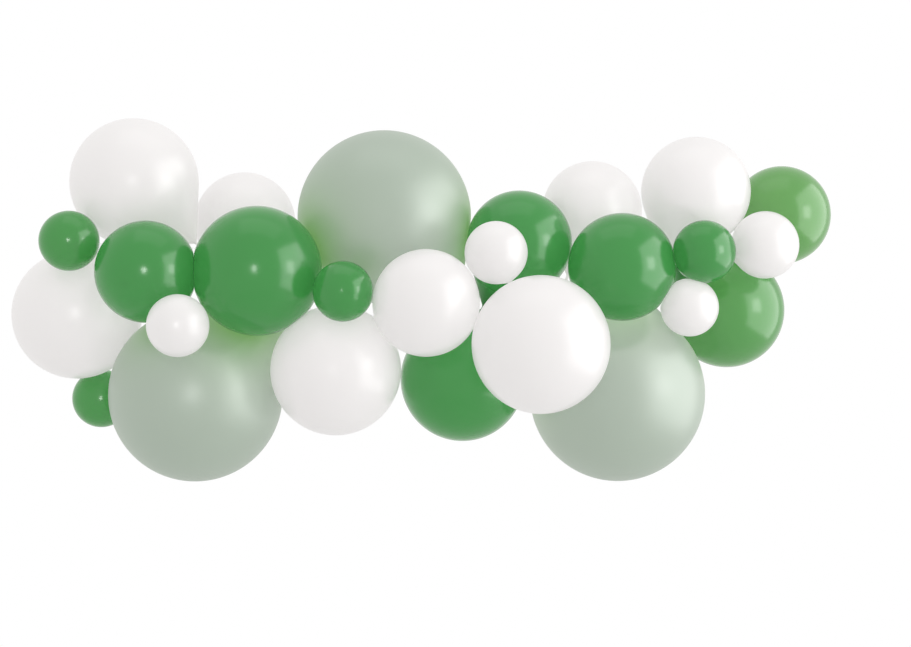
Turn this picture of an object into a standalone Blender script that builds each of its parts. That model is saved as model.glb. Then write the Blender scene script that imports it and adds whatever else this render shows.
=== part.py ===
"""Balloon garland: round latex balloons in three colours, tied and glued along one clear strip.

Units are metres, +Z up, +Y to the back, +X along the garland.
The origin is on the back face of the strip, half way between two holes near the middle.
"""
import math

import bmesh
import bpy
from mathutils import Vector

# Balloon sizes: the diameter each class is blown up to.
MINI = 0.120
SMALL = 0.205
MEDIUM = 0.254
LARGE = 0.346

# The strip that carries the balloons.
STRIP_WIDTH = 0.014
STRIP_THICKNESS = 0.0012
HOLE_PITCH = 0.034
STRIP_LEFT = -0.743
STRIP_RIGHT = 0.747

# Necks, knots and tails.
NECK_RADIUS = 0.0030
KNOT_RADIUS = 0.0064
LIP_RADIUS = 0.0080
TAIL_LENGTH = 0.0095
PEAR_GLUED = 1.16
STAND_OFF = 0.0096

# Clearance left between two pieces that press on each other.
GAP = 0.0003

# Sides of a neck and of a strip hole.
NECK_SIDES = 6

# How far the strip sags and waves: x, y, z of the points its back face passes through.
ROUTE = (
    (-0.696, 0.000, 0.156),
    (-0.648, 0.000, 0.154),
    (-0.598, 0.000, 0.140),
    (-0.548, 0.000, 0.120),
    (-0.504, 0.000, 0.114),
    (-0.460, 0.000, 0.126),
    (-0.418, 0.000, 0.134),
    (-0.368, 0.008, 0.112),
    (-0.320, 0.020, 0.074),
    (-0.238, 0.000, 0.026),
    (-0.128, 0.000, 0.004),
    (0.000, 0.000, 0.000),
    (0.072, 0.000, 0.008),
    (0.148, 0.000, 0.010),
    (0.230, 0.000, 0.020),
    (0.282, 0.000, 0.036),
    (0.332, 0.012, 0.052),
    (0.394, 0.030, 0.068),
    (0.454, 0.034, 0.076),
    (0.510, 0.014, 0.098),
    (0.572, 0.002, 0.124),
    (0.614, 0.012, 0.134),
    (0.650, 0.012, 0.138),
    (0.682, 0.012, 0.132),
    (0.714, 0.012, 0.120),
)
ROUTE_STEPS = 24

# Balloons tied through the strip: name, hole number, diameter, pear (neck end of the skin, in radii),
# neck length, turn of the lean in the plane of the garland and lean out to the front, in degrees.
TIED = (
    ("white_balloon_01", -13, MEDIUM * 1.00, 1.36, 0.036, 135.1, 8.8),
    ("white_balloon_02", -17, MEDIUM * 1.01, 1.22, 0.014, -141.1, 2.7),
    ("white_balloon_03", -10, SMALL * 1.00, 1.27, 0.013, 98.2, -24.5),
    ("white_balloon_05", -2, MEDIUM * 1.00, 1.18, 0.018, -127.9, 40.0),
    ("white_balloon_09", 9, SMALL * 0.99, 1.50, 0.042, 69.3, -20.1),
    ("white_balloon_10", 15, SMALL * 1.06, 1.41, 0.022, 64.1, 8.8),
    ("green_balloon_02", -15, SMALL * 0.96, 1.40, 0.022, -135.3, 69.7),
    ("green_balloon_03", -12, MEDIUM * 0.99, 1.18, 0.017, -11.3, 60.7),
    ("green_balloon_06", 5, MEDIUM * 0.965, 1.17, 0.015, -117.3, 17.6),
    ("green_balloon_07", 4, SMALL * 1.02, 1.42, 0.013, 60.8, 12.2),
    ("green_balloon_08", 17, SMALL * 1.03, 1.29, 0.034, -170.6, 33.7),
    ("green_balloon_10", 20, SMALL * 0.97, 1.23, 0.013, 36.7, -24.5),
    ("green_balloon_11", 16, MEDIUM * 0.915, 1.24, 0.014, -38.8, -19.7),
    ("sage_balloon_01", -7, LARGE * 0.99, 1.41, 0.019, -138.1, 8.6),
    ("sage_balloon_02", 3, LARGE * 1.00, 1.35, 0.015, 129.3, 1.8),
    ("sage_balloon_03", 14, LARGE * 1.01, 1.23, 0.027, -102.3, 6.4),
)

# Balloons stuck on the others: name, neighbour it is placed from, offset in x and z, diameter,
# face it is pressed on from (front -1, back 1), how far it is pressed in, and the turn and lean of its knot.
GLUED = (
    ("white_balloon_06", "sage_balloon_02", 0.086, -0.173, SMALL * 1.00, -1, 0.006, 225, -75),
    ("white_balloon_08", "green_balloon_06", 0.147, 0.070, MEDIUM * 1.03, -1, 0.007, 105, -75),
    ("green_balloon_01", "white_balloon_01", -0.111, -0.120, MINI * 0.975, -1, 0.003, 135, -75),
    ("white_balloon_04", "sage_balloon_01", -0.010, 0.137, MINI * 0.99, -1, 0.010, 75, -75),
    ("green_balloon_04", "white_balloon_02", 0.037, -0.170, MINI * 0.98, 1, 0.003, 50, -40),
    ("green_balloon_05", "sage_balloon_02", -0.072, -0.151, MINI * 0.965, -1, 0.006, 165, -75),
    ("white_balloon_07", "green_balloon_07", -0.049, -0.024, MINI * 1.005, -1, 0.003, 295, -25),
    ("white_balloon_12", "green_balloon_10", -0.054, -0.066, MINI * 1.105, -1, 0.003, 195, -15),
    ("white_balloon_11", "green_balloon_11", -0.094, 0.004, MINI * 0.945, -1, 0.009, 180, -75),
    ("green_balloon_09", "white_balloon_10", 0.004, -0.124, MINI * 1.02, -1, 0.008, 240, -75),
)

# Colour, roughness and metallic value of each material.
MATERIALS = {
    "latex_white": ((0.86, 0.85, 0.84, 1.0), 0.28, 0.0),
    "latex_green": ((0.075, 0.32, 0.085, 1.0), 0.12, 0.0),
    "latex_sage": ((0.50, 0.57, 0.50, 1.0), 0.42, 0.0),
    "clear_strip": ((0.90, 0.92, 0.93, 1.0), 0.15, 0.0),
}


def clear_scene():
    for obj in list(bpy.data.objects):
        bpy.data.objects.remove(obj, do_unlink=True)


def make_material(name):
    colour, roughness, metallic = MATERIALS[name]
    material = bpy.data.materials.new(name)
    material.use_nodes = True
    shader = material.node_tree.nodes["Principled BSDF"]
    shader.inputs["Base Color"].default_value = colour
    shader.inputs["Roughness"].default_value = roughness
    shader.inputs["Metallic"].default_value = metallic
    if name == "clear_strip":
        shader.inputs["Alpha"].default_value = 0.35
    return material


def direction(turn, out):
    """Unit vector turned from +X towards +Z in the garland's plane, then leant out to the front."""
    a = math.radians(turn)
    b = math.radians(out)
    return Vector((math.cos(a) * math.cos(b), -math.sin(b), math.sin(a) * math.cos(b)))


def frame_about(axis, hint):
    """Two unit vectors square to the axis, the first one nearest to the hint."""
    first = hint - axis * hint.dot(axis)
    if first.length < 1e-4:
        first = axis.orthogonal()
    first.normalize()
    return first, axis.cross(first)


class Strip:
    """The strip's centre line, measured along its length from the origin."""

    def __init__(self):
        knots = [Vector(p) for p in ROUTE]
        knots = [knots[0] * 2 - knots[1]] + knots + [knots[-1] * 2 - knots[-2]]
        self.points = []
        for i in range(1, len(knots) - 2):
            for step in range(ROUTE_STEPS):
                self.points.append(self.blend(knots[i - 1:i + 3], step / ROUTE_STEPS))
        self.points.append(knots[-2].copy())
        start = min(range(len(self.points)), key=lambda i: self.points[i].length)
        self.length = [0.0]
        for a, b in zip(self.points, self.points[1:]):
            self.length.append(self.length[-1] + (b - a).length)
        shift = self.length[start]
        self.length = [s - shift for s in self.length]

    @staticmethod
    def blend(p, t):
        return 0.5 * (
            2 * p[1]
            + (p[2] - p[0]) * t
            + (2 * p[0] - 5 * p[1] + 4 * p[2] - p[3]) * t ** 2
            + (3 * p[1] - p[0] - 3 * p[2] + p[3]) * t ** 3
        )

    def place(self, s):
        last = len(self.length) - 2
        i = 0
        while i < last and self.length[i + 1] < s:
            i += 1
        t = (s - self.length[i]) / (self.length[i + 1] - self.length[i])
        return self.points[i].lerp(self.points[i + 1], t) if 0 <= t <= 1 else (
            self.points[i] + (self.points[i + 1] - self.points[i]) * t)

    def frame(self, s):
        """Point, direction along, direction across and direction to the back at s."""
        ahead = self.place(s + 0.004)
        behind = self.place(s - 0.004)
        along = (ahead - behind).normalized()
        across = Vector((-along.z, 0.0, along.x)).normalized()
        back = across.cross(along)
        if back.y < 0:
            back = -back
        return self.place(s), along, across, back

    def hole(self, number):
        return self.frame((number + 0.5) * HOLE_PITCH)

    def corners(self, s):
        """The four corners of the cross-section at s: back low, back high, front high, front low."""
        point, along, across, back = self.frame(s)
        half = across * STRIP_WIDTH / 2
        deep = back * STRIP_THICKNESS
        return [point - half, point + half, point + half - deep, point - half - deep]


def stitch(loop_a, angles_a, loop_b, angles_b):
    """Triangles between two closed loops of vertex numbers, matched by angle."""
    faces = []
    i = 0
    j = 0
    count_a = len(loop_a)
    count_b = len(loop_b)
    turn = 2 * math.pi
    while i < count_a or j < count_b:
        next_a = angles_a[(i + 1) % count_a] + turn * ((i + 1) // count_a)
        next_b = angles_b[(j + 1) % count_b] + turn * ((j + 1) // count_b)
        a = loop_a[i % count_a]
        b = loop_b[j % count_b]
        if j >= count_b or (i < count_a and next_a <= next_b):
            faces.append((a, loop_a[(i + 1) % count_a], b))
            i += 1
        else:
            faces.append((a, loop_b[(j + 1) % count_b], b))
            j += 1
    return faces


def even_angles(count):
    return [2 * math.pi * i / count for i in range(count)]


def make_object(name, points, faces, material, smooth):
    mesh = bpy.data.meshes.new(name)
    mesh.from_pydata([tuple(p) for p in points], [], faces)
    work = bmesh.new()
    work.from_mesh(mesh)
    bmesh.ops.recalc_face_normals(work, faces=work.faces)
    work.to_mesh(mesh)
    work.free()
    for polygon in mesh.polygons:
        polygon.use_smooth = smooth
    mesh.materials.append(material)
    obj = bpy.data.objects.new(name, mesh)
    bpy.context.scene.collection.objects.link(obj)
    return obj


def strip_stations():
    """Lengths where the strip's cross-section is set, and the holes between them."""
    half_cell = 0.0062
    first = math.ceil((STRIP_LEFT + half_cell + 0.003) / HOLE_PITCH - 0.5)
    last = math.floor((STRIP_RIGHT - half_cell - 0.003) / HOLE_PITCH - 0.5)
    cells = []
    for number in range(first, last + 1):
        s = (number + 0.5) * HOLE_PITCH
        cells.append((s - half_cell, s, s + half_cell))
    return cells


def build_strip(strip, material):
    points = []
    faces = []

    def add_section(s):
        start = len(points)
        points.extend(strip.corners(s))
        return [start, start + 1, start + 2, start + 3]

    def add_tube(a, b, sides):
        for k in sides:
            n = (k + 1) % 4
            faces.append((a[k], a[n], b[n], b[k]))

    hole_radius = (NECK_RADIUS + GAP) / math.cos(math.pi / NECK_SIDES)
    section = add_section(STRIP_LEFT)
    faces.append(tuple(section))
    for s_in, s_mid, s_out in strip_stations():
        left = add_section(s_in)
        right = add_section(s_out)
        add_tube(section, left, (0, 1, 2, 3))
        add_tube(left, right, (1, 3))
        point, along, across, back = strip.frame(s_mid)
        rings = []
        for depth in (0.0, STRIP_THICKNESS):
            ring = []
            for a in even_angles(NECK_SIDES):
                offset = along * math.cos(a) + across * math.sin(a)
                ring.append(len(points))
                points.append(point + offset * hole_radius - back * depth)
            rings.append(ring)
        reach = (s_out - s_in) / 2
        corner = math.atan2(STRIP_WIDTH / 2, reach)
        angles = [corner, math.pi - corner, math.pi + corner, 2 * math.pi - corner]
        back_loop = [right[1], left[1], left[0], right[0]]
        front_loop = [right[2], left[2], left[3], right[3]]
        faces.extend(stitch(back_loop, angles, rings[0], even_angles(NECK_SIDES)))
        faces.extend(stitch(front_loop, angles, rings[1], even_angles(NECK_SIDES)))
        for k in range(NECK_SIDES):
            n = (k + 1) % NECK_SIDES
            faces.append((rings[0][k], rings[0][n], rings[1][n], rings[1][k]))
        section = right
    end = add_section(STRIP_RIGHT)
    add_tube(section, end, (0, 1, 2, 3))
    faces.append(tuple(end))
    return make_object("decorating_strip", points, faces, material, False)


class Balloon:
    """A balloon's place: centre, radius, axis towards the neck, and the path its neck takes."""

    def __init__(self, name, diameter, pear, centre):
        self.name = name
        self.radius = diameter / 2
        self.pear = pear
        self.centre = centre
        self.axis = Vector((0, 0, -1))
        self.path = []
        self.planes = []

    def inner_balls(self):
        """Balls from the centre to the neck end that together fill the pear."""
        steps = 24
        for i in range(steps + 1):
            t = i / steps
            yield self.centre + self.axis * self.pear * self.radius * t, self.radius * (1 - t)

    def reach(self, angle):
        """Distance from the centre to the skin at an angle from the neck: a ball drawn into a cone."""
        tangent = math.acos(1 / self.pear)
        if angle >= tangent:
            return self.radius
        return self.radius / math.cos(tangent - angle)

    def skin(self, way, angle):
        """Distance to the skin along a unit vector, cut by the flats pressed into the balloon."""
        distance = self.reach(angle)
        for normal, depth in self.planes:
            slope = way.dot(normal)
            if slope > 1e-6:
                distance = min(distance, depth / slope)
        return distance


def tie_balloon(strip, name, hole, diameter, pear, neck, turn, out):
    """Place a balloon by its hole, and run its neck through the hole to the knot on the other side."""
    point, along, across, back = strip.hole(hole)
    through = back if out >= 0 else -back
    middle = point - back * STRIP_THICKNESS / 2
    radius = diameter / 2
    centre = point + direction(turn, out) * (pear * radius + neck)
    ball = Balloon(name, diameter, pear, centre)
    bend = middle - through * STAND_OFF
    away = (centre - bend).normalized()
    ball.axis = -away
    start = centre - away * pear * radius
    free = (start - bend).length
    turn_in = bend + away * min(0.011, free * 0.8)
    entry = middle - through * (STRIP_THICKNESS / 2 + 0.0016)
    exit_face = middle + through * (STRIP_THICKNESS / 2 + 0.0012)
    half_way = turn_in * 0.25 + bend * 0.5 + entry * 0.25
    ball.path = [
        (start, NECK_RADIUS),
        (turn_in, NECK_RADIUS),
        (half_way, NECK_RADIUS),
        (entry, NECK_RADIUS),
        (exit_face, NECK_RADIUS),
    ]
    ball.path += knot_path(exit_face, through, 1.0)
    return ball


def knot_path(start, way, scale):
    """Knot and rolled lip after the neck, as ring centres and radii."""
    k = KNOT_RADIUS * scale
    lip = LIP_RADIUS * scale
    tail = TAIL_LENGTH * scale
    return [
        (start + way * k * 0.45, k * 0.92),
        (start + way * k * 1.15, k * 0.92),
        (start + way * k * 1.60, NECK_RADIUS * 0.85 * scale),
        (start + way * (k * 1.60 + tail * 0.80), lip * 0.92),
        (start + way * (k * 1.60 + tail), lip),
    ]


def glue_balloon(balls, name, neighbour, dx, dz, diameter, side, pressed, turn, out):
    """Set a balloon against the ones already placed, as near to the middle plane as they let it."""
    host = balls[neighbour]
    radius = diameter / 2
    x = host.centre.x + dx
    z = host.centre.z + dz
    found = []
    for other in balls.values():
        reach = radius + other.radius - pressed
        across = math.hypot(x - other.centre.x, z - other.centre.z)
        if across < reach:
            found.append(other.centre.y + side * math.sqrt(reach ** 2 - across ** 2))
    y = min(found) if side < 0 else max(found)
    ball = Balloon(name, diameter, PEAR_GLUED, Vector((x, y, z)))
    ball.axis = direction(turn, out)
    scale = 0.82 if diameter < 0.16 else 1.0
    start = ball.centre + ball.axis * PEAR_GLUED * radius
    neck_end = start + ball.axis * 0.004 * scale
    ball.path = [(start, NECK_RADIUS * scale)] + knot_path(neck_end, ball.axis, scale)
    return ball


def clear_neck(line, wall, neck, room):
    """The flat's direction, turned about its middle point until a neck beside it stays behind it."""
    reach = neck - wall
    over = reach.dot(line) + room
    level = reach - line * reach.dot(line)
    if over <= 0 or level.length < room:
        return line
    angle = min(math.atan2(over, level.length), 0.5)
    return line * math.cos(angle) - level.normalized() * math.sin(angle)


def press_pair(one, two):
    """Flats on two skins where their pears meet, square to the line between the inner balls that meet."""
    room = NECK_RADIUS + GAP
    closest = None
    for from_point, from_radius in one.inner_balls():
        for to_point, to_radius in two.inner_balls():
            apart = (to_point - from_point).length
            loose = apart - from_radius - to_radius
            if closest is None or loose < closest[0]:
                closest = (loose, from_point, from_radius, to_point, to_radius, apart)
    loose, from_point, from_radius, to_point, to_radius, apart = closest
    if loose > 6 * GAP:
        return
    line = (to_point - from_point).normalized()
    if loose < 0:
        split = (apart ** 2 + from_radius ** 2 - to_radius ** 2) / (2 * apart)
        split = max(-from_radius, min(from_radius, split))
    else:
        split = from_radius + loose / 2
    wall = from_point + line * split
    for turn in range(3):
        line = clear_neck(line, wall, one.path[0][0], room)
        line = -clear_neck(-line, wall, two.path[0][0], room)
    one.planes.append((line, (wall - one.centre).dot(line) - GAP / 2))
    two.planes.append((-line, (two.centre - wall).dot(line) - GAP / 2))


def press_knot(ball, other):
    """Dents in a skin where another balloon's neck, knot or lip lies against it."""
    samples = [other.path[0]]
    for before, after in zip(other.path, other.path[1:]):
        for t in (0.25, 0.5, 0.75, 1.0):
            samples.append((before[0].lerp(after[0], t), before[1] + (after[1] - before[1]) * t))
    for point, radius in samples:
        closest = None
        for middle, inner in ball.inner_balls():
            loose = (point - middle).length - inner - radius
            if closest is None or loose < closest[0]:
                closest = (loose, middle)
        loose, middle = closest
        if loose > 2 * GAP:
            continue
        line = (point - middle).normalized()
        ball.planes.append((line, (point - ball.centre).dot(line) - radius - 2 * GAP))


def press_together(balls, strip):
    """Give each balloon the flats where it meets its neighbours and the strip."""
    order = list(balls.values())
    for i, one in enumerate(order):
        for two in order[i + 1:]:
            if (two.centre - one.centre).length < (one.radius + two.radius) * 1.5:
                press_pair(one, two)
                press_knot(one, two)
                press_knot(two, one)
    lengths = [STRIP_LEFT]
    for cell in strip_stations():
        lengths.extend(cell)
    lengths.append(STRIP_RIGHT)
    sections = [strip.corners(s) for s in lengths]
    for ball in order:
        for before, after in zip(sections, sections[1:]):
            block = before + after
            middle = sum(block, Vector()) / 8
            line = middle - ball.centre
            if line.length > ball.radius + 0.02:
                continue
            line.normalize()
            depth = min((corner - ball.centre).dot(line) for corner in block)
            ball.planes.append((line, depth - GAP))


RINGS = {
    "large": (17, (164, 147, 130, 113, 96, 79, 62, 46, 31, 15)),
    "medium": (13, (158, 136, 114, 92, 70, 49, 30, 13)),
    "mini": (11, (155, 129, 104, 79, 54, 31, 14)),
}


def build_balloon(ball, material):
    if ball.radius > 0.15:
        kind = "large"
    elif ball.radius > 0.08:
        kind = "medium"
    else:
        kind = "mini"
    sides, angles = RINGS[kind]
    first, second = frame_about(ball.axis, Vector((0.3, 1.0, 0.2)))
    points = []
    faces = []
    crown = -ball.axis
    points.append(ball.centre + crown * ball.skin(crown, math.pi))
    ring = []
    for degrees in angles:
        theta = math.radians(degrees)
        loop = []
        for phi in even_angles(sides):
            around = first * math.cos(phi) + second * math.sin(phi)
            way = ball.axis * math.cos(theta) + around * math.sin(theta)
            loop.append(len(points))
            points.append(ball.centre + way * ball.skin(way, theta))
        for k in range(sides):
            n = (k + 1) % sides
            if ring:
                faces.append((ring[k], ring[n], loop[n], loop[k]))
            else:
                faces.append((0, loop[n], loop[k]))
        ring = loop
    centres = [p for p, r in ball.path]
    neck = []
    for i, (point, radius) in enumerate(ball.path):
        if i == 0:
            way = ball.axis
        elif i == len(centres) - 1:
            way = (centres[i] - centres[i - 1]).normalized()
        else:
            way = (centres[i + 1] - centres[i - 1]).normalized()
        first, second = frame_about(way, first)
        loop = []
        for phi in even_angles(NECK_SIDES):
            loop.append(len(points))
            points.append(point + (first * math.cos(phi) + second * math.sin(phi)) * radius)
        if neck:
            for k in range(NECK_SIDES):
                n = (k + 1) % NECK_SIDES
                faces.append((neck[k], neck[n], loop[n], loop[k]))
        else:
            faces.extend(stitch(ring, even_angles(sides), loop, even_angles(NECK_SIDES)))
        neck = loop
    faces.append(tuple(neck))
    return make_object(ball.name, points, faces, material, True)


def main():
    clear_scene()
    materials = {name: make_material(name) for name in MATERIALS}
    strip = Strip()
    balls = {}
    for row in TIED:
        balls[row[0]] = tie_balloon(strip, *row)
    for row in GLUED:
        balls[row[0]] = glue_balloon(balls, *row)
    press_together(balls, strip)
    garland = bpy.data.objects.new("balloon_garland", None)
    bpy.context.scene.collection.objects.link(garland)
    pieces = [build_strip(strip, materials["clear_strip"])]
    for name in sorted(balls):
        colour = name.split("_")[0]
        pieces.append(build_balloon(balls[name], materials["latex_" + colour]))
    for piece in pieces:
        piece.parent = garland


main()
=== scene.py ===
import math

import bmesh
import bpy
import numpy as np
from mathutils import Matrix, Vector


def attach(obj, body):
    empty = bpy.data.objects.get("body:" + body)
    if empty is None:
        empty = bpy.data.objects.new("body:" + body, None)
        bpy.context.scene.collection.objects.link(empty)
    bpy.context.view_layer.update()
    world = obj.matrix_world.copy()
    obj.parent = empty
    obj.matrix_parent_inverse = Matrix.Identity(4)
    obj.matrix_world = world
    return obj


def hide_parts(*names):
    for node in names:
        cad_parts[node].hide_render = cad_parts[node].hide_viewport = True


bl_info = {
    "name": "Balloon garland",
    "version": (1, 0, 0),
    "blender": (4, 5, 0),
    "location": "3D View > Sidebar > Garland",
    "description": "Latex balloons in white, green and sage on a clear strip, with its studio",
    "category": "Add Mesh",
}

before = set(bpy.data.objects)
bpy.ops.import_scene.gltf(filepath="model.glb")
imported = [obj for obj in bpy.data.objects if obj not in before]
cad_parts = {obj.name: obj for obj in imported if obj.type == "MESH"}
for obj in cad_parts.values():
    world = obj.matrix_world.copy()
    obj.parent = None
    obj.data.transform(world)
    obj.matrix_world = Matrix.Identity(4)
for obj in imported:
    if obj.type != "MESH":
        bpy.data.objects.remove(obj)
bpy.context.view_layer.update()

# The strip's back face passes through these points: it sags and waves behind the balloons.
ROUTE = (
    (-0.696, 0.000, 0.156),
    (-0.648, 0.000, 0.154),
    (-0.598, 0.000, 0.140),
    (-0.548, 0.000, 0.120),
    (-0.504, 0.000, 0.114),
    (-0.460, 0.000, 0.126),
    (-0.418, 0.000, 0.134),
    (-0.368, 0.008, 0.112),
    (-0.320, 0.020, 0.074),
    (-0.238, 0.000, 0.026),
    (-0.128, 0.000, 0.004),
    (0.000, 0.000, 0.000),
    (0.072, 0.000, 0.008),
    (0.148, 0.000, 0.010),
    (0.230, 0.000, 0.020),
    (0.282, 0.000, 0.036),
    (0.332, 0.012, 0.052),
    (0.394, 0.030, 0.068),
    (0.454, 0.034, 0.076),
    (0.510, 0.014, 0.098),
    (0.572, 0.002, 0.124),
    (0.614, 0.012, 0.134),
    (0.650, 0.012, 0.138),
    (0.682, 0.012, 0.132),
    (0.714, 0.012, 0.120),
)
ROUTE_STEPS = 24

# Balloons tied through the strip: name, hole, size class and fill, pear (neck end of the skin,
# in radii), neck length, turn of the lean in the garland's plane and lean out to the front, in degrees.
TIED = (
    ("white_balloon_01", -13, "medium", 1.00, 1.36, 0.036, 135.1, 8.8),
    ("white_balloon_02", -17, "medium", 1.01, 1.22, 0.014, -141.1, 2.7),
    ("white_balloon_03", -10, "small", 1.00, 1.27, 0.013, 98.2, -24.5),
    ("white_balloon_05", -2, "medium", 1.00, 1.18, 0.018, -127.9, 40.0),
    ("white_balloon_09", 9, "small", 0.99, 1.50, 0.042, 69.3, -20.1),
    ("white_balloon_10", 15, "small", 1.06, 1.41, 0.022, 64.1, 8.8),
    ("green_balloon_02", -15, "small", 0.96, 1.40, 0.022, -135.3, 69.7),
    ("green_balloon_03", -12, "medium", 0.99, 1.18, 0.017, -11.3, 60.7),
    ("green_balloon_06", 5, "medium", 0.965, 1.17, 0.015, -117.3, 17.6),
    ("green_balloon_07", 4, "small", 1.02, 1.42, 0.013, 60.8, 12.2),
    ("green_balloon_08", 17, "small", 1.03, 1.29, 0.034, -170.6, 33.7),
    ("green_balloon_10", 20, "small", 0.97, 1.23, 0.013, 36.7, -24.5),
    ("green_balloon_11", 16, "medium", 0.915, 1.24, 0.014, -38.8, -19.7),
    ("sage_balloon_01", -7, "large", 0.99, 1.41, 0.019, -138.1, 8.6),
    ("sage_balloon_02", 3, "large", 1.00, 1.35, 0.015, 129.3, 1.8),
    ("sage_balloon_03", 14, "large", 1.01, 1.23, 0.027, -102.3, 6.4),
)

# Balloons stuck on the others: name, neighbour it is placed from, offset in x and z, size class
# and fill, face it is pressed on from (front -1, back 1), how far in, turn and lean of its knot.
GLUED = (
    ("white_balloon_06", "sage_balloon_02", 0.086, -0.173, "small", 1.00, -1, 0.006, 225, -75),
    ("white_balloon_08", "green_balloon_06", 0.147, 0.070, "medium", 1.03, -1, 0.007, 105, -75),
    ("green_balloon_01", "white_balloon_01", -0.111, -0.120, "mini", 0.975, -1, 0.003, 135, -75),
    ("white_balloon_04", "sage_balloon_01", -0.010, 0.137, "mini", 0.99, -1, 0.010, 75, -75),
    ("green_balloon_04", "white_balloon_02", 0.037, -0.170, "mini", 0.98, 1, 0.003, 50, -40),
    ("green_balloon_05", "sage_balloon_02", -0.072, -0.151, "mini", 0.965, -1, 0.006, 165, -75),
    ("white_balloon_07", "green_balloon_07", -0.049, -0.024, "mini", 1.005, -1, 0.003, 295, -25),
    ("white_balloon_12", "green_balloon_10", -0.054, -0.066, "mini", 1.105, -1, 0.003, 195, -15),
    ("white_balloon_11", "green_balloon_11", -0.094, 0.004, "mini", 0.945, -1, 0.009, 180, -75),
    ("green_balloon_09", "white_balloon_10", 0.004, -0.124, "mini", 1.02, -1, 0.008, 240, -75),
)

# Share of the painted green bounce light and shade a balloon takes, where it isn't all of it.
PAINTED_BOUNCE_AND_SHADE_TAKEN = {"sage_balloon_03": 0.15}

# Balloons of a paler, warmer dye and how much of it; the sage one takes painted light beside green ones.
PALE_DYE_AND_PAINTED_LIGHT = {
    "green_balloon_01": 0.08,
    "green_balloon_04": 0.10,
    "green_balloon_10": 0.65,
    "green_balloon_11": 0.36,
    "sage_balloon_03": 0.85,
}
PALE_GREEN = (0.19, 0.42, 0.12, 1.0)
# Painted light for the sage balloon beside green ones.
PAINTED_LIGHT_SAGE = (0.64, 0.78, 0.60, 1.0)

# Placing and pressing: steps of the balls that fill a pear, and how near two skins count as touching.
PEAR_STEPS = 24
TOUCHING_GAPS = 6
MAX_TILT = 0.5
TILT_ROUNDS = 3
STRIP_BLOCK = 0.012
STRIP_NEAR = 0.020

# Necks: how far they run straight before they bend to their hole, and where they enter and leave it.
STRAIGHT_RUN = 0.011
ENTRY_SPACE = 0.0016
LEAVE_SPACE = 0.0012
STUCK_NECK = 0.004
MINI_KNOT_SCALE = 0.82

# The strip: free length at its ends, spacing of its cross-sections and depth of the hole cutter.
END_MARGIN = 0.0092
SECTION_SPACING = 0.0085
CUTTER_DEPTH = 0.008

# Where the latex is drawn at the neck, in radii from the centre, and how wide and clear its crown spot is.
DRAWN_FROM = 0.92
DRAWN_OVER = 0.22
CROWN_WIDTH = 0.08
CROWN_SHARE = 0.15

# Reach of the painted green bounce light and shade: share of a green balloon's radius and a fixed length.
PAINTED_BOUNCE_AND_SHADE_REACH = 0.26
PAINTED_BOUNCE_AND_SHADE_LEAST = 0.008

# Share of shadow and bounced light that passes through latex.
LIGHT_PASSING = 0.88

# Skin mesh of each size class: segments round the neck, rings from neck to crown.
SKIN_MESH = {"mini": (80, 40), "small": (112, 56), "medium": (128, 64), "large": (144, 72)}


def length_property(name, description, default):
    return bpy.props.FloatProperty(
        name=name, description=description, default=default, min=0.0, precision=4, unit="LENGTH")


def colour_property(name, description, default):
    return bpy.props.FloatVectorProperty(
        name=name, description=description, default=default, size=4, min=0.0, max=1.0, subtype="COLOR")


class GarlandSizes(bpy.types.PropertyGroup):
    mini: length_property("Mini balloons", "Diameter the smallest balloons are blown up to", 0.120)
    small: length_property("Small balloons", "Diameter of the small balloons", 0.205)
    medium: length_property("Medium balloons", "Diameter of the medium balloons", 0.254)
    large: length_property("Large balloons", "Diameter of the large balloons", 0.346)
    strip_width: length_property("Strip width", "Width of the clear strip", 0.014)
    strip_thickness: length_property("Strip thickness", "Thickness of the clear strip", 0.0012)
    strip_left: bpy.props.FloatProperty(
        name="Strip left end", description="Length of strip left of the origin, as a negative length",
        default=-0.743, precision=4, unit="LENGTH")
    strip_right: length_property("Strip right end", "Length of strip right of the origin", 0.747)
    hole_pitch: length_property("Hole pitch", "Distance between two holes of the strip", 0.034)
    hole_radius: length_property("Hole radius", "Radius of a hole of the strip", 0.0035)
    neck: length_property("Neck radius", "Radius of a tied neck", 0.0030)
    knot: length_property("Knot radius", "Radius of a knot", 0.0064)
    lip: length_property("Lip radius", "Radius of the rolled lip", 0.0080)
    tail: length_property("Tail length", "Length of the tail after the knot", 0.0095)
    stand_off: length_property("Stand-off", "How far in front of its hole a neck bends", 0.0096)
    gap: length_property("Gap", "Clearance between two skins that press on each other", 0.0003)
    soft_edge: length_property("Soft edge", "Roundness of the edge of a pressed flat", 0.0024)
    pear_glued: bpy.props.FloatProperty(
        name="Pear of stuck balloons", description="Neck end of the skin, in radii from the centre",
        default=1.16, min=1.05, max=1.5)


class GarlandColours(bpy.types.PropertyGroup):
    white: colour_property("Pearl white", "Skin of the white balloons", (0.86, 0.845, 0.845, 1.0))
    green: colour_property("Green", "Skin of the green balloons", (0.045, 0.290, 0.058, 1.0))
    sage: colour_property("Sage", "Skin of the sage balloons", (0.375, 0.455, 0.375, 1.0))
    strip: colour_property("Strip", "Clear strip", (0.90, 0.92, 0.93, 1.0))
    floor: colour_property("Floor", "Studio floor", (0.86, 0.86, 0.86, 1.0))


def direction(turn, out):
    """Unit vector turned from +X towards +Z in the garland's plane, then leant out to the front."""
    a = math.radians(turn)
    b = math.radians(out)
    return Vector((math.cos(a) * math.cos(b), -math.sin(b), math.sin(a) * math.cos(b)))


def frame_about(axis, hint):
    """Two unit vectors square to the axis, the first one nearest to the hint."""
    first = hint - axis * hint.dot(axis)
    if first.length < 1e-4:
        first = axis.orthogonal()
    first.normalize()
    return first, axis.cross(first)


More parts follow.
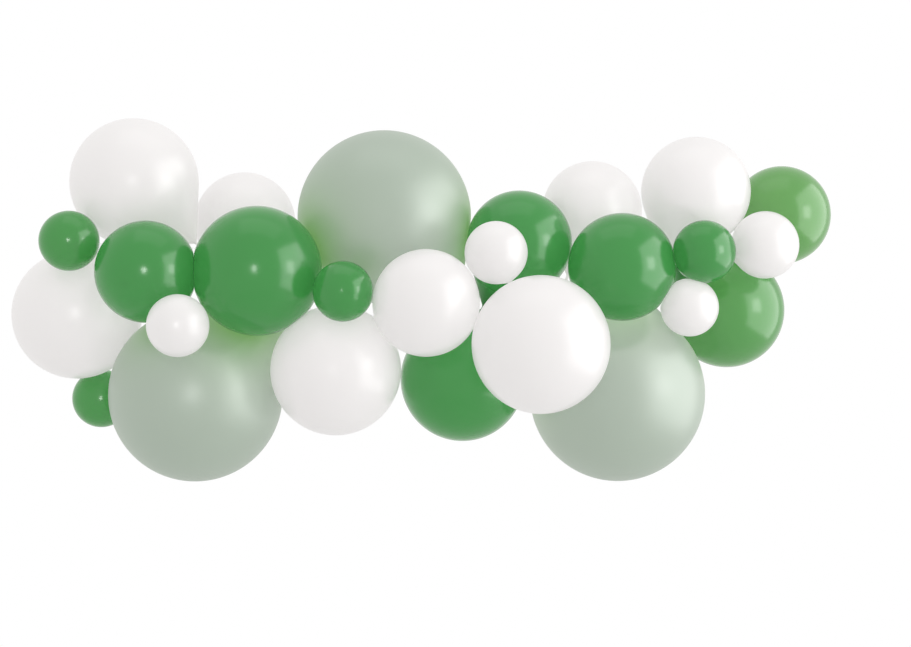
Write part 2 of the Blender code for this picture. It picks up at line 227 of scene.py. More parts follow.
class Strip:
    """The strip's centre line, measured along its length from the origin."""

    def __init__(self, sizes):
        self.sizes = sizes
        knots = [Vector(p) for p in ROUTE]
        knots = [knots[0] * 2 - knots[1]] + knots + [knots[-1] * 2 - knots[-2]]
        self.points = []
        for i in range(1, len(knots) - 2):
            for step in range(ROUTE_STEPS):
                self.points.append(self.blend(knots[i - 1:i + 3], step / ROUTE_STEPS))
        self.points.append(knots[-2].copy())
        start = min(range(len(self.points)), key=lambda i: self.points[i].length)
        self.length = [0.0]
        for a, b in zip(self.points, self.points[1:]):
            self.length.append(self.length[-1] + (b - a).length)
        shift = self.length[start]
        self.length = [s - shift for s in self.length]

    @staticmethod
    def blend(p, t):
        return 0.5 * (
            2 * p[1]
            + (p[2] - p[0]) * t
            + (2 * p[0] - 5 * p[1] + 4 * p[2] - p[3]) * t ** 2
            + (3 * p[1] - p[0] - 3 * p[2] + p[3]) * t ** 3
        )

    def place(self, s):
        last = len(self.length) - 2
        i = 0
        while i < last and self.length[i + 1] < s:
            i += 1
        t = (s - self.length[i]) / (self.length[i + 1] - self.length[i])
        return self.points[i] + (self.points[i + 1] - self.points[i]) * t

    def frame(self, s):
        """Point, direction along, direction across and direction to the back at s."""
        step = 0.004
        along = (self.place(s + step) - self.place(s - step)).normalized()
        across = Vector((-along.z, 0.0, along.x)).normalized()
        back = across.cross(along)
        if back.y < 0:
            back = -back
        return self.place(s), along, across, back

    def hole(self, number):
        return self.frame((number + 0.5) * self.sizes.hole_pitch)

    def hole_numbers(self):
        first = math.ceil((self.sizes.strip_left + END_MARGIN) / self.sizes.hole_pitch - 0.5)
        last = math.floor((self.sizes.strip_right - END_MARGIN) / self.sizes.hole_pitch - 0.5)
        return range(first, last + 1)

    def stations(self, step):
        span = self.sizes.strip_right - self.sizes.strip_left
        count = max(2, round(span / step))
        return [self.sizes.strip_left + span * i / count for i in range(count + 1)]

    def corners(self, s):
        point, along, across, back = self.frame(s)
        half = across * self.sizes.strip_width / 2
        deep = back * self.sizes.strip_thickness
        return [point - half, point + half, point + half - deep, point - half - deep]


class Balloon:
    """A balloon's place: centre, radius, axis towards the neck, and the path its neck takes."""

    def __init__(self, name, kind, diameter, pear, centre, axis):
        self.name = name
        self.kind = kind
        self.radius = diameter / 2
        self.pear = pear
        self.centre = centre
        self.axis = axis
        self.neck = []
        self.knot_at = None
        self.knot_way = None
        self.knot_scale = 1.0
        self.planes = []

    def inner_balls(self):
        """Balls from the centre to the neck end that together fill the pear."""
        for i in range(PEAR_STEPS + 1):
            t = i / PEAR_STEPS
            yield self.centre + self.axis * self.pear * self.radius * t, self.radius * (1 - t)

    def beads(self, sizes):
        """Small balls along the neck, knot and lip, as far as they reach."""
        k = sizes.knot * self.knot_scale
        lip = sizes.lip * self.knot_scale
        tail = sizes.tail * self.knot_scale
        neck = sizes.neck * self.knot_scale
        for before, after in zip(self.neck, self.neck[1:]):
            yield before.lerp(after, 0.5), neck
            yield after, neck
        for step in (0.45, 0.8, 1.15):
            yield self.knot_at + self.knot_way * k * step, k
        for step in (0.3, 0.6, 0.8, 1.0):
            yield self.knot_at + self.knot_way * (k * 1.6 + tail * step), neck + (lip - neck) * step


def tie_balloon(strip, sizes, name, hole, kind, fill, pear, neck, turn, out):
    """Place a balloon by its hole, and run its neck through the hole to the knot beyond it."""
    point, along, across, back = strip.hole(hole)
    through = back if out >= 0 else -back
    middle = point - back * sizes.strip_thickness / 2
    diameter = getattr(sizes, kind) * fill
    radius = diameter / 2
    centre = point + direction(turn, out) * (pear * radius + neck)
    bend = middle - through * sizes.stand_off
    away = (centre - bend).normalized()
    ball = Balloon(name, kind, diameter, pear, centre, -away)
    start = centre - away * pear * radius
    free = (start - bend).length
    turn_in = bend + away * min(STRAIGHT_RUN, free * 0.8)
    entry = middle - through * (sizes.strip_thickness / 2 + ENTRY_SPACE)
    leave = middle + through * (sizes.strip_thickness / 2 + LEAVE_SPACE)
    ball.neck = [start]
    for t in (0.0, 0.17, 0.34, 0.5, 0.66, 0.83, 1.0):
        ball.neck.append(turn_in * (1 - t) ** 2 + bend * 2 * t * (1 - t) + entry * t ** 2)
    ball.neck.append(leave)
    ball.knot_at = leave
    ball.knot_way = through
    return ball


def glue_balloon(balls, sizes, name, neighbour, dx, dz, kind, fill, side, pressed, turn, out):
    """Set a balloon against the ones already placed, as near to the middle plane as they let it."""
    host = balls[neighbour]
    diameter = getattr(sizes, kind) * fill
    radius = diameter / 2
    x = host.centre.x + dx
    z = host.centre.z + dz
    found = []
    for other in balls.values():
        reach = radius + other.radius - pressed
        across = math.hypot(x - other.centre.x, z - other.centre.z)
        if across < reach:
            found.append(other.centre.y + side * math.sqrt(reach ** 2 - across ** 2))
    y = min(found) if side < 0 else max(found)
    ball = Balloon(name, kind, diameter, sizes.pear_glued, Vector((x, y, z)), direction(turn, out))
    ball.knot_scale = MINI_KNOT_SCALE if kind == "mini" else 1.0
    start = ball.centre + ball.axis * ball.pear * radius
    ball.neck = [start, start + ball.axis * STUCK_NECK * ball.knot_scale]
    ball.knot_at = ball.neck[-1]
    ball.knot_way = ball.axis
    return ball


def nearest_inner_ball(ball, point):
    """The ball inside the pear whose surface is nearest to a point."""
    return min(ball.inner_balls(), key=lambda inner: (point - inner[0]).length - inner[1])


def clear_neck(line, wall, neck, room):
    """The flat's direction, turned about its middle point until a neck beside it stays behind it."""
    reach = neck - wall
    over = reach.dot(line) + room
    level = reach - line * reach.dot(line)
    if over <= 0 or level.length < room:
        return line
    angle = min(math.atan2(over, level.length), MAX_TILT)
    return line * math.cos(angle) - level.normalized() * math.sin(angle)


def press_pair(one, two, sizes):
    """Flats on two skins where their pears meet, square to the line between the inner balls that meet."""
    gap = sizes.gap
    room = sizes.neck + gap
    closest = None
    for from_point, from_radius in one.inner_balls():
        for to_point, to_radius in two.inner_balls():
            apart = (to_point - from_point).length
            loose = apart - from_radius - to_radius
            if closest is None or loose < closest[0]:
                closest = (loose, from_point, from_radius, to_point, to_radius, apart)
    loose, from_point, from_radius, to_point, to_radius, apart = closest
    if loose > TOUCHING_GAPS * gap:
        return
    line = (to_point - from_point).normalized()
    if loose < 0:
        split = (apart ** 2 + from_radius ** 2 - to_radius ** 2) / (2 * apart)
        split = max(-from_radius, min(from_radius, split))
    else:
        split = from_radius + loose / 2
    wall = from_point + line * split
    for turn in range(TILT_ROUNDS):
        line = clear_neck(line, wall, one.neck[0], room)
        line = -clear_neck(-line, wall, two.neck[0], room)
    one.planes.append((line, (wall - one.centre).dot(line) - gap / 2))
    two.planes.append((-line, (two.centre - wall).dot(line) - gap / 2))


def press_knot(ball, other, sizes):
    """Dents in a skin where another balloon's neck, knot or lip lies against it."""
    for point, radius in other.beads(sizes):
        middle, inner = nearest_inner_ball(ball, point)
        line = point - middle
        if line.length - inner - radius > 2 * sizes.gap:
            continue
        line.normalize()
        ball.planes.append((line, (point - ball.centre).dot(line) - radius - 2 * sizes.gap))


def press_together(balls, strip, sizes):
    """Give each balloon the flats where it meets its neighbours and the strip."""
    order = list(balls.values())
    for i, one in enumerate(order):
        for two in order[i + 1:]:
            if (two.centre - one.centre).length < (one.radius + two.radius) * 1.5:
                press_pair(one, two, sizes)
                press_knot(one, two, sizes)
                press_knot(two, one, sizes)
    sections = [strip.corners(s) for s in strip.stations(STRIP_BLOCK)]
    for ball in order:
        for before, after in zip(sections, sections[1:]):
            block = before + after
            line = sum(block, Vector()) / 8 - ball.centre
            if line.length > ball.radius + STRIP_NEAR:
                continue
            line.normalize()
            depth = min((corner - ball.centre).dot(line) for corner in block)
            ball.planes.append((line, depth - sizes.gap))


def lay_out(sizes):
    """The strip and every balloon in its place, with the flats where they press on each other."""
    strip = Strip(sizes)
    balls = {}
    for row in TIED:
        balls[row[0]] = tie_balloon(strip, sizes, *row)
    for row in GLUED:
        balls[row[0]] = glue_balloon(balls, sizes, *row)
    press_together(balls, strip, sizes)
    return strip, balls


def soft_min(a, b, width):
    """The smaller of two distances, with the crease between them rounded off."""
    overlap = np.clip(width - np.abs(a - b), 0.0, None)
    return np.minimum(a, b) - overlap ** 2 / (4 * width)


def skin_distance(ball, sizes, ways):
    """Distance from the centre to the skin along each unit vector."""
    grazing = 0.05
    far = 9.0
    axis = np.array(ball.axis)
    angle = np.arccos(np.clip(ways @ axis, -1.0, 1.0))
    tangent = math.acos(1 / ball.pear)
    cone = ball.radius / np.cos(np.clip(tangent - angle, 0.0, tangent))
    distance = np.where(angle < tangent, cone, ball.radius)
    for normal, depth in ball.planes:
        slope = ways @ np.array(normal)
        flat = np.where(slope > grazing, depth / np.maximum(slope, grazing), far)
        distance = soft_min(distance, flat, sizes.soft_edge)
    return distance


def start_clean():
    if bpy.context.mode != "OBJECT":
        bpy.ops.object.mode_set(mode="OBJECT")
    bpy.ops.object.select_all(action="DESELECT")


def read_points(mesh):
    points = np.empty(len(mesh.vertices) * 3)
    mesh.vertices.foreach_get("co", points)
    return points.reshape(-1, 3)


def write_points(mesh, points):
    mesh.vertices.foreach_set("co", points.ravel())
    mesh.update()


def write_attribute(mesh, name, values):
    layer = mesh.attributes.new(name, "FLOAT", "POINT")
    layer.data.foreach_set("value", np.asarray(values, dtype=np.float32))


def extrude_ring(obj, old, new, squeeze=(1.0, 1.0)):
    """Extrude the selected ring, and carry it from the old frame and radius to the new ones."""
    bpy.ops.mesh.extrude_region_move()
    work = bmesh.from_edit_mesh(obj.data)
    old_centre, old_first, old_second, old_radius = old
    centre, first, second, radius = new
    grow = radius / old_radius
    for vert in work.verts:
        if vert.select:
            arm = vert.co - old_centre
            vert.co = (centre + first * arm.dot(old_first) * grow * squeeze[0]
                       + second * arm.dot(old_second) * grow * squeeze[1])
    bmesh.update_edit_mesh(obj.data)


def neck_rings(ball, sizes, from_depth, from_radius):
    """Ring centres and radii from the skin's open end to the rolled lip, and how flat each is."""
    start = ball.neck[0]
    k = sizes.knot * ball.knot_scale
    lip = sizes.lip * ball.knot_scale
    tail = sizes.tail * ball.knot_scale
    neck = sizes.neck * ball.knot_scale
    rings = []
    run = (start - ball.centre).length - from_depth
    for t in (0.30, 0.55, 0.78):
        radius = neck + (from_radius - neck) * (1 - t) ** 2.2
        rings.append((start - ball.axis * run * (1 - t), radius, 1.0))
    for point in ball.neck:
        rings.append((point, neck, 1.0))
    way = ball.knot_way
    for step, radius in ((0.12, 0.72), (0.32, 0.93), (0.62, 1.02), (0.95, 1.0), (1.25, 0.86), (1.50, 0.60)):
        rings.append((ball.knot_at + way * k * step, k * radius, 1.0))
    end = ball.knot_at + way * k * 1.62
    for step, radius, flat in (
            (0.0, neck * 0.86 / lip, 0.95), (0.30, 0.52, 0.86), (0.62, 0.80, 0.78), (0.78, 0.93, 0.80),
            (0.86, 1.02, 0.82), (0.95, 1.04, 0.84), (1.02, 0.98, 0.84), (1.03, 0.88, 0.84),
            (0.92, 0.76, 0.82), (0.60, 0.52, 0.78)):
        rings.append((end + way * tail * step, lip * radius, flat))
    return rings


def shape_balloon(ball, sizes, balls):
    """Skin from a sphere drawn to a pear and pressed flat where it is touched, with neck, knot and lip."""
    segments, rings = SKIN_MESH[ball.kind]
    start_clean()
    turn = ball.axis.to_track_quat("Z", "Y").to_euler()
    bpy.ops.mesh.primitive_uv_sphere_add(
        segments=segments, ring_count=rings, radius=ball.radius, location=ball.centre, rotation=turn)
    obj = bpy.context.active_object
    obj.name = ball.name + "_skin"
    obj.data.name = obj.name
    bpy.ops.object.transform_apply(location=True, rotation=True, scale=True)
    mesh = obj.data
    centre = np.array(ball.centre)
    arms = read_points(mesh) - centre
    ways = arms / np.linalg.norm(arms, axis=1, keepdims=True)
    write_points(mesh, centre + ways * skin_distance(ball, sizes, ways)[:, None])

    bpy.ops.object.mode_set(mode="EDIT")
    bpy.ops.mesh.select_mode(type="VERT")
    bpy.ops.mesh.select_all(action="DESELECT")
    work = bmesh.from_edit_mesh(mesh)
    pole = max(work.verts, key=lambda v: (v.co - ball.centre).normalized().dot(ball.axis))
    pole.select = True
    bmesh.update_edit_mesh(mesh)
    bpy.ops.mesh.delete(type="VERT")
    bpy.ops.mesh.select_mode(type="EDGE")
    bpy.ops.mesh.select_non_manifold()
    work = bmesh.from_edit_mesh(mesh)
    ring = [v.co for v in work.verts if v.select]
    middle = sum(ring, Vector()) / len(ring)
    radius = sum((p - middle).length for p in ring) / len(ring)
    first, second = frame_about(ball.axis, Vector((0.3, 1.0, 0.2)))
    old = (middle, first, second, radius)
    path = neck_rings(ball, sizes, (middle - ball.centre).dot(ball.axis), radius)
    flat_before = 1.0
    for i, (point, width, flat) in enumerate(path):
        before = path[i - 1][0] if i else middle
        after = path[i + 1][0] if i + 1 < len(path) else None
        if i >= len(path) - 6 or after is None:
            way = ball.knot_way
        elif i < 4:
            way = ball.axis
        else:
            way = (after - before).normalized()
        first, second = frame_about(way, first)
        new = (point, first, second, width)
        extrude_ring(obj, old, new, (1.0, flat / flat_before))
        flat_before = flat
        old = new
    bpy.ops.mesh.edge_face_add()
    bpy.ops.mesh.select_all(action="SELECT")
    bpy.ops.mesh.normals_make_consistent(inside=False)
    bpy.ops.object.mode_set(mode="OBJECT")
    bpy.ops.object.shade_smooth()
    paint_skin(ball, mesh, balls)
    return obj


def paint_skin(ball, mesh, balls):
    """Per-point values the materials read: how drawn the latex is, how pale it is (dye on green balloons,
    painted light on the sage one) and how near a green balloon stands, for painted bounce light and shade."""
    points = read_points(mesh)
    axis = np.array(ball.axis)
    arms = points - np.array(ball.centre)
    along = arms @ axis / ball.radius
    across = np.linalg.norm(arms - np.outer(arms @ axis, axis), axis=1) / ball.radius
    neck = np.clip((along - DRAWN_FROM) / DRAWN_OVER, 0.0, 1.0)
    crown = np.where(along < 0, np.exp(-(across / CROWN_WIDTH) ** 2), 0.0)
    write_attribute(mesh, "gathered", np.clip(neck + CROWN_SHARE * crown, 0.0, 1.0))
    # Painted green bounce light and painted shade: falls off from each green balloon's skin.
    near = np.zeros(len(points))
    for other in balls.values():
        if other is ball or not other.name.startswith("green"):
            continue
        away = np.linalg.norm(points - np.array(other.centre), axis=1) - other.radius
        reach = PAINTED_BOUNCE_AND_SHADE_REACH * other.radius + PAINTED_BOUNCE_AND_SHADE_LEAST
        near = np.maximum(near, np.exp(-np.clip(away, 0.0, None) / reach))
    write_attribute(mesh, "near_green", near * PAINTED_BOUNCE_AND_SHADE_TAKEN.get(ball.name, 1.0))
    # On the sage balloon 'pale' is painted light beside green balloons; on green ones it is a paler dye.
    pale = np.full(len(points), PALE_DYE_AND_PAINTED_LIGHT.get(ball.name, 0.0))
    write_attribute(mesh, "pale", pale * near if ball.name.startswith("sage") else pale)


def finish_piece(obj, material, node):
    """Give a piece its material, attach it to the root body and hide the imported part it stands for."""
    obj.data.materials.clear()
    obj.data.materials.append(material)
    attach(obj, "root")
    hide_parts(node)


def new_group(name, inputs, outputs):
    """An empty shader group with its sockets."""
    group = bpy.data.node_groups.new(name, "ShaderNodeTree")
    for label, kind, default in inputs:
        socket = group.interface.new_socket(name=label, in_out="INPUT", socket_type=kind)
        socket.default_value = default
    for label, kind in outputs:
        group.interface.new_socket(name=label, in_out="OUTPUT", socket_type=kind)
    return group


def skin_group():
    """Shared effect: pale dye and painted light, cloudy where gathered, painted green bounce light and shade
    beside green, a peel.
    """
    name = "latex_skin"
    if name in bpy.data.node_groups:
        return bpy.data.node_groups[name]
    group = new_group(
        name,
        (
            ("Skin", "NodeSocketColor", (0.8, 0.8, 0.8, 1.0)),
            ("Gathered skin", "NodeSocketColor", (0.8, 0.8, 0.8, 1.0)),
            ("Beside green", "NodeSocketColor", (0.3, 0.5, 0.3, 1.0)),
            ("Pale skin", "NodeSocketColor", (0.8, 0.8, 0.8, 1.0)),
            ("Gathered", "NodeSocketFloat", 0.0),
            ("Pale", "NodeSocketFloat", 0.0),
            ("Near green", "NodeSocketFloat", 0.0),
            ("Cloud amount", "NodeSocketFloat", 0.1),
            ("Roughness", "NodeSocketFloat", 0.3),
            ("Roughness spread", "NodeSocketFloat", 0.05),
        ),
        (
            ("Color", "NodeSocketColor"),
            ("Roughness", "NodeSocketFloat"),
            ("Height", "NodeSocketFloat"),
        ),
    )
    nodes = group.nodes
    links = group.links
    given = nodes.new("NodeGroupInput")
    result = nodes.new("NodeGroupOutput")
    place = nodes.new("ShaderNodeTexCoord")
    cloud = nodes.new("ShaderNodeTexNoise")
    cloud.inputs["Scale"].default_value = 9.0
    cloud.inputs["Detail"].default_value = 3.0
    links.new(place.outputs["Object"], cloud.inputs["Vector"])
    # A paler dye, and on the sage balloon painted light beside green balloons.
    pale_dye_and_light = nodes.new("ShaderNodeMix")
    pale_dye_and_light.data_type = "RGBA"
    links.new(given.outputs["Pale"], pale_dye_and_light.inputs["Factor"])
    links.new(given.outputs["Skin"], pale_dye_and_light.inputs["A"])
    links.new(given.outputs["Pale skin"], pale_dye_and_light.inputs["B"])
    drawn = nodes.new("ShaderNodeMix")
    drawn.data_type = "RGBA"
    links.new(given.outputs["Gathered"], drawn.inputs["Factor"])
    links.new(pale_dye_and_light.outputs["Result"], drawn.inputs["A"])
    links.new(given.outputs["Gathered skin"], drawn.inputs["B"])
    mask = nodes.new("ShaderNodeMath")
    mask.operation = "MULTIPLY"
    links.new(cloud.outputs["Fac"], mask.inputs[0])
    links.new(given.outputs["Cloud amount"], mask.inputs[1])
    clouded = nodes.new("ShaderNodeMix")
    clouded.data_type = "RGBA"
    links.new(mask.outputs[0], clouded.inputs["Factor"])
    links.new(drawn.outputs["Result"], clouded.inputs["A"])
    links.new(given.outputs["Gathered skin"], clouded.inputs["B"])
    # Painted green bounce light and painted shade beside green balloons.
    bounced_and_shaded = nodes.new("ShaderNodeMix")
    bounced_and_shaded.data_type = "RGBA"
    links.new(given.outputs["Near green"], bounced_and_shaded.inputs["Factor"])
    links.new(clouded.outputs["Result"], bounced_and_shaded.inputs["A"])
    links.new(given.outputs["Beside green"], bounced_and_shaded.inputs["B"])
    links.new(bounced_and_shaded.outputs["Result"], result.inputs["Color"])
    dull = nodes.new("ShaderNodeMath")
    dull.operation = "MULTIPLY_ADD"
    links.new(cloud.outputs["Fac"], dull.inputs[0])
    links.new(given.outputs["Roughness spread"], dull.inputs[1])
    links.new(given.outputs["Roughness"], dull.inputs[2])
    duller = nodes.new("ShaderNodeMath")
    duller.operation = "MULTIPLY_ADD"
    duller.inputs[1].default_value = 0.25
    links.new(given.outputs["Gathered"], duller.inputs[0])
    links.new(dull.outputs[0], duller.inputs[2])
    links.new(duller.outputs[0], result.inputs["Roughness"])
    peel = nodes.new("ShaderNodeTexNoise")
    peel.inputs["Scale"].default_value = 34.0
    peel.inputs["Detail"].default_value = 1.0
    links.new(place.outputs["Object"], peel.inputs["Vector"])
    links.new(peel.outputs["Fac"], result.inputs["Height"])
    return group


def attribute_value(tree, name):
    node = tree.nodes.new("ShaderNodeAttribute")
    node.attribute_type = "GEOMETRY"
    node.attribute_name = name
    return node.outputs["Fac"]


def latex_material(
        name, skin, gathered, pale, bounce_and_shade_colour, bounce_and_shade_share, clouds, roughness, spread, peel, gloss):
    """Latex of one colour, through which most of the shadow and bounced light passes."""
    if name in bpy.data.materials:
        return bpy.data.materials[name]
    material = bpy.data.materials.new(name)
    material.use_nodes = True
    tree = material.node_tree
    shader = tree.nodes["Principled BSDF"]
    group = tree.nodes.new("ShaderNodeGroup")
    group.node_tree = skin_group()
    group.inputs["Skin"].default_value = skin
    group.inputs["Gathered skin"].default_value = gathered
    group.inputs["Beside green"].default_value = bounce_and_shade_colour
    group.inputs["Pale skin"].default_value = pale
    group.inputs["Cloud amount"].default_value = clouds
    group.inputs["Roughness"].default_value = roughness
    group.inputs["Roughness spread"].default_value = spread
    tree.links.new(attribute_value(tree, "gathered"), group.inputs["Gathered"])
    # 'pale': a paler dye on green balloons, painted light on the sage one.
    tree.links.new(attribute_value(tree, "pale"), group.inputs["Pale"])
    # Painted green bounce light and painted shade, in the material's share.
    share = tree.nodes.new("ShaderNodeMath")
    share.operation = "MULTIPLY"
    share.inputs[1].default_value = bounce_and_shade_share
    tree.links.new(attribute_value(tree, "near_green"), share.inputs[0])
    tree.links.new(share.outputs[0], group.inputs["Near green"])
    tree.links.new(group.outputs["Color"], shader.inputs["Base Color"])
    tree.links.new(group.outputs["Roughness"], shader.inputs["Roughness"])
    bump = tree.nodes.new("ShaderNodeBump")
    bump.inputs["Strength"].default_value = peel
    bump.inputs["Distance"].default_value = 0.002
    tree.links.new(group.outputs["Height"], bump.inputs["Height"])
    tree.links.new(bump.outputs["Normal"], shader.inputs["Normal"])
    shader.inputs["Specular IOR Level"].default_value = gloss
    path = tree.nodes.new("ShaderNodeLightPath")
    passing = tree.nodes.new("ShaderNodeMath")
    passing.operation = "MAXIMUM"
    tree.links.new(path.outputs["Is Shadow Ray"], passing.inputs[0])
    tree.links.new(path.outputs["Is Diffuse Ray"], passing.inputs[1])
    blocked = tree.nodes.new("ShaderNodeMath")
    blocked.operation = "MULTIPLY_ADD"
    blocked.inputs[1].default_value = -LIGHT_PASSING
    blocked.inputs[2].default_value = 1.0
    tree.links.new(passing.outputs[0], blocked.inputs[0])
    tree.links.new(blocked.outputs[0], shader.inputs["Alpha"])
    return material


def shade(colour, share, towards=(0.0, 0.0, 0.0)):
    """A colour carried a share of the way towards another one, black if none is given."""
    return tuple(c * (1 - share) + t * share for c, t in zip(colour[:3], towards)) + (1.0,)


def white_latex(colours):
    return latex_material(
        "pearl_white_latex", colours.white, shade(colours.white, 0.12, (0.75, 0.72, 0.66)), colours.white,
        # Beside green balloons: painted green bounce light and painted shade, a darker green-grey.
        shade(colours.white, 0.6, (0.40, 0.62, 0.36)),
        bounce_and_shade_share=0.12, clouds=0.08, roughness=0.28, spread=0.06, peel=0.03, gloss=0.5)


def green_latex(colours):
    return latex_material(
        # The last colour is painted shade beside other green balloons, the green at half its brightness.
        "green_latex", colours.green, shade(colours.green, 0.35), PALE_GREEN, shade(colours.green, 0.5),
        bounce_and_shade_share=0.10, clouds=0.30, roughness=0.17, spread=0.05, peel=0.04, gloss=0.5)


def sage_latex(colours):
    return latex_material(
        # Painted light beside green balloons, then painted green bounce light, a darker yellow-green.
        "sage_latex", colours.sage, shade(colours.sage, 0.22), PAINTED_LIGHT_SAGE,
        shade(colours.sage, 0.9, (0.19, 0.47, 0.09)),
        bounce_and_shade_share=1.00, clouds=0.12, roughness=0.38, spread=0.05, peel=0.03, gloss=1.0)


def strip_plastic(colours):
    name = "clear_strip_plastic"
    if name in bpy.data.materials:
        return bpy.data.materials[name]
    material = bpy.data.materials.new(name)
    material.use_nodes = True
    tree = material.node_tree
    shader = tree.nodes["Principled BSDF"]
    shader.inputs["Base Color"].default_value = colours.strip
    shader.inputs["Roughness"].default_value = 0.12
    shader.inputs["Alpha"].default_value = 0.35
    place = tree.nodes.new("ShaderNodeTexCoord")
    wave = tree.nodes.new("ShaderNodeTexNoise")
    wave.inputs["Scale"].default_value = 60.0
    bump = tree.nodes.new("ShaderNodeBump")
    bump.inputs["Strength"].default_value = 0.15
    bump.inputs["Distance"].default_value = 0.001
    tree.links.new(place.outputs["Object"], wave.inputs["Vector"])
    tree.links.new(wave.outputs["Fac"], bump.inputs["Height"])
    tree.links.new(bump.outputs["Normal"], shader.inputs["Normal"])
    return material


def make_balloons(context, colour, material):
    """Model every balloon of one colour."""
    sizes = context.scene.garland_sizes
    strip, balls = lay_out(sizes)
    for name in sorted(balls):
        if name.startswith(colour):
            obj = shape_balloon(balls[name], sizes, balls)
            finish_piece(obj, material, name)


class GARLAND_OT_white_balloons(bpy.types.Operator):
    """Model the pearl white balloons"""
    bl_idname = "garland.white_balloons"
    bl_label = "White balloons"

    def execute(self, context):
        make_balloons(context, "white", white_latex(context.scene.garland_colours))
        return {"FINISHED"}


class GARLAND_OT_green_balloons(bpy.types.Operator):
    """Model the green balloons"""
    bl_idname = "garland.green_balloons"
    bl_label = "Green balloons"

    def execute(self, context):
        make_balloons(context, "green", green_latex(context.scene.garland_colours))
        return {"FINISHED"}


class GARLAND_OT_sage_balloons(bpy.types.Operator):
    """Model the large sage balloons"""
    bl_idname = "garland.sage_balloons"
    bl_label = "Sage balloons"

    def execute(self, context):
        make_balloons(context, "sage", sage_latex(context.scene.garland_colours))
        return {"FINISHED"}


class GARLAND_OT_strip(bpy.types.Operator):
    """Model the clear strip with its row of holes"""
    bl_idname = "garland.strip"
    bl_label = "Strip"

    def execute(self, context):
        sizes = context.scene.garland_sizes
        strip = Strip(sizes)
        start_clean()
        bpy.ops.mesh.primitive_plane_add(size=1.0, location=(0, 0, 0))
        obj = context.active_object
        obj.name = "clear_strip"
        obj.data.name = obj.name
        stations = strip.stations(SECTION_SPACING)
        corners = strip.corners(stations[0])
        for vert, corner in zip(obj.data.vertices, (corners[0], corners[1], corners[3], corners[2])):
            vert.co = corner
        bpy.ops.object.mode_set(mode="EDIT")
        bpy.ops.mesh.select_mode(type="FACE")
        bpy.ops.mesh.select_all(action="SELECT")
        point, along, across, back = strip.frame(stations[0])
        old = (point, across, back, 1.0)
        for s in stations[1:]:
            point, along, across, back = strip.frame(s)
            new = (point, across, back, 1.0)
            extrude_ring(obj, old, new)
            old = new
        bpy.ops.mesh.select_all(action="SELECT")
        bpy.ops.mesh.normals_make_consistent(inside=False)
        bpy.ops.object.mode_set(mode="OBJECT")
        self.punch(context, obj, strip, sizes)
        finish_piece(obj, strip_plastic(context.scene.garland_colours), "decorating_strip")
        return {"FINISHED"}

    def punch(self, context, obj, strip, sizes):
        """Cut the row of round holes with one joined cutter."""
        pins = []
        for number in strip.hole_numbers():
            point, along, across, back = strip.hole(number)
            start_clean()
            bpy.ops.mesh.primitive_cylinder_add(
                vertices=20, radius=sizes.hole_radius, depth=CUTTER_DEPTH,
                location=point - back * sizes.strip_thickness / 2,
                rotation=back.to_track_quat("Z", "X").to_euler())
            pins.append(context.active_object)
        start_clean()
        for pin in pins:
            pin.select_set(True)
        context.view_layer.objects.active = pins[0]
        bpy.ops.object.join()
        cutter = context.active_object
        start_clean()
        obj.select_set(True)
        context.view_layer.objects.active = obj
        cut = obj.modifiers.new("holes", "BOOLEAN")
        cut.operation = "DIFFERENCE"
        cut.solver = "EXACT"
        cut.object = cutter
        bpy.ops.object.modifier_apply(modifier=cut.name)
        bpy.data.objects.remove(cutter, do_unlink=True)
        least_points = 1000
        if len(obj.data.vertices) < least_points:
            raise RuntimeError("the strip's holes were not cut")


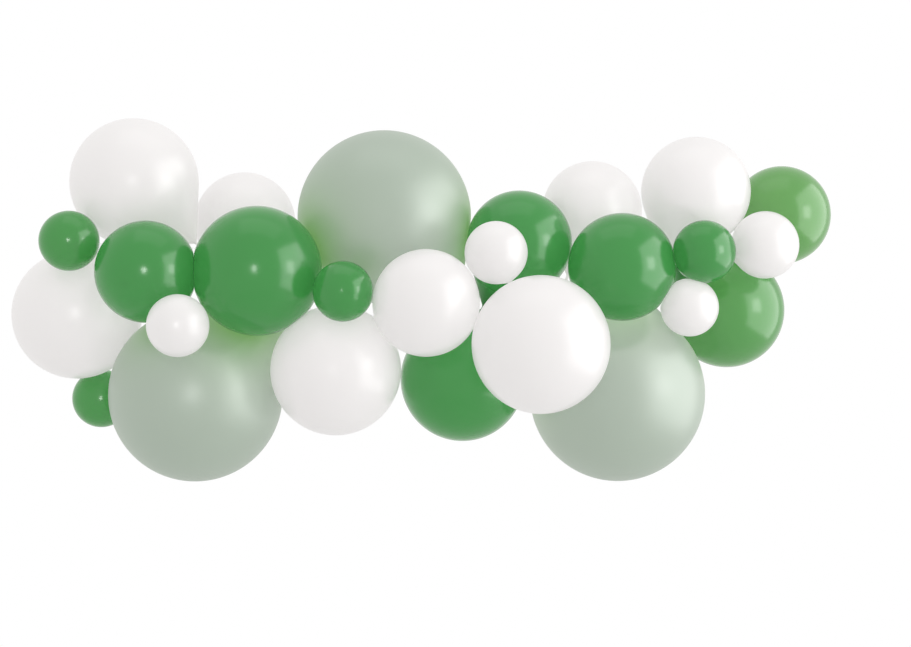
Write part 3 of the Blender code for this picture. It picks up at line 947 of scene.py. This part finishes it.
class GARLAND_OT_studio(bpy.types.Operator):
    """Set up the pale floor, the soft lights, the white surround and the camera"""
    bl_idname = "garland.studio"
    bl_label = "Studio"

    def execute(self, context):
        self.floor(context)
        self.surround(context)
        self.light(context, "window_right", (2.9, -1.6, 0.4), (0.9, 1.1), 12.5)
        self.light(context, "overhead", (0.0, -0.4, 2.6), (2.6, 1.6), 6.0)
        # Two that are seen in reflections only: a pale wall on the right, a small window at the front.
        wall = self.light(context, "pale_wall_right", (2.74, -0.58, 0.3), (4.0, 4.0), 130.0)
        wall.visible_diffuse = False
        front = self.light(context, "front_left", (-0.3, -2.6, 0.05), (0.34, 0.70), 0.21, (-0.50, 0.0, -0.10))
        front.visible_diffuse = False
        front.data.spread = 0.34
        self.camera(context)
        context.scene.view_settings.view_transform = "Standard"
        return {"FINISHED"}

    def floor(self, context):
        start_clean()
        bpy.ops.mesh.primitive_circle_add(vertices=96, radius=1.7, fill_type="NGON", location=(0.04, 0, -1.0))
        obj = context.active_object
        obj.name = "floor"
        bpy.ops.object.transform_apply(location=True, rotation=True, scale=True)
        material = bpy.data.materials.new("pale_floor")
        material.use_nodes = True
        shader = material.node_tree.nodes["Principled BSDF"]
        shader.inputs["Base Color"].default_value = context.scene.garland_colours.floor
        shader.inputs["Roughness"].default_value = 0.6
        obj.data.materials.append(material)

    def surround(self, context):
        """A white page to the camera, a little dimmer and warmer as a light."""
        world = bpy.data.worlds.new("white_surround")
        context.scene.world = world
        world.use_nodes = True
        tree = world.node_tree
        tree.nodes.clear()
        path = tree.nodes.new("ShaderNodeLightPath")
        seen = tree.nodes.new("ShaderNodeBackground")
        seen.inputs["Color"].default_value = (1.0, 1.0, 1.0, 1.0)
        seen.inputs["Strength"].default_value = 1.0
        lit = tree.nodes.new("ShaderNodeBackground")
        lit.inputs["Color"].default_value = (1.0, 0.99, 0.98, 1.0)
        lit.inputs["Strength"].default_value = 0.95
        pick = tree.nodes.new("ShaderNodeMixShader")
        output = tree.nodes.new("ShaderNodeOutputWorld")
        tree.links.new(path.outputs["Is Camera Ray"], pick.inputs["Fac"])
        tree.links.new(lit.outputs["Background"], pick.inputs[1])
        tree.links.new(seen.outputs["Background"], pick.inputs[2])
        tree.links.new(pick.outputs["Shader"], output.inputs["Surface"])

    def light(self, context, name, place, size, watts, target=(0.04, -0.05, 0.04)):
        """A rectangular light aimed at the target, unseen by the camera."""
        data = bpy.data.lights.new(name, "AREA")
        data.shape = "RECTANGLE"
        data.size = size[0]
        data.size_y = size[1]
        data.energy = watts
        obj = bpy.data.objects.new(name, data)
        context.scene.collection.objects.link(obj)
        obj.location = place
        aim = Vector(target) - Vector(place)
        obj.rotation_euler = aim.to_track_quat("-Z", "Y").to_euler()
        obj.visible_camera = False
        return obj

    def camera(self, context):
        data = bpy.data.cameras.new("front_camera")
        data.sensor_width = 36.0
        data.lens = 79.03
        obj = bpy.data.objects.new("front_camera", data)
        context.scene.collection.objects.link(obj)
        obj.location = (0.103, -4.0, -0.011)
        obj.rotation_euler = (math.pi / 2, 0.0, 0.0)
        context.scene.camera = obj


class GARLAND_PT_panel(bpy.types.Panel):
    """Sizes, colours and steps of the balloon garland"""
    bl_idname = "GARLAND_PT_panel"
    bl_label = "Balloon garland"
    bl_space_type = "VIEW_3D"
    bl_region_type = "UI"
    bl_category = "Garland"

    def draw(self, context):
        layout = self.layout
        for group in (context.scene.garland_sizes, context.scene.garland_colours):
            column = layout.column(align=True)
            for name in group.__annotations__:
                column.prop(group, name)
        column = layout.column(align=True)
        for step in STEPS:
            column.operator(step.bl_idname)


STEPS = (
    GARLAND_OT_strip,
    GARLAND_OT_white_balloons,
    GARLAND_OT_green_balloons,
    GARLAND_OT_sage_balloons,
    GARLAND_OT_studio,
)
CLASSES = (GarlandSizes, GarlandColours) + STEPS + (GARLAND_PT_panel,)


def register():
    for cls in CLASSES:
        bpy.utils.register_class(cls)
    bpy.types.Scene.garland_sizes = bpy.props.PointerProperty(type=GarlandSizes)
    bpy.types.Scene.garland_colours = bpy.props.PointerProperty(type=GarlandColours)


def unregister():
    del bpy.types.Scene.garland_colours
    del bpy.types.Scene.garland_sizes
    for cls in reversed(CLASSES):
        bpy.utils.unregister_class(cls)


def main():
    register()
    bpy.ops.garland.strip()
    bpy.ops.garland.white_balloons()
    bpy.ops.garland.green_balloons()
    bpy.ops.garland.sage_balloons()
    bpy.ops.garland.studio()


if __name__ == "__main__":
    main()
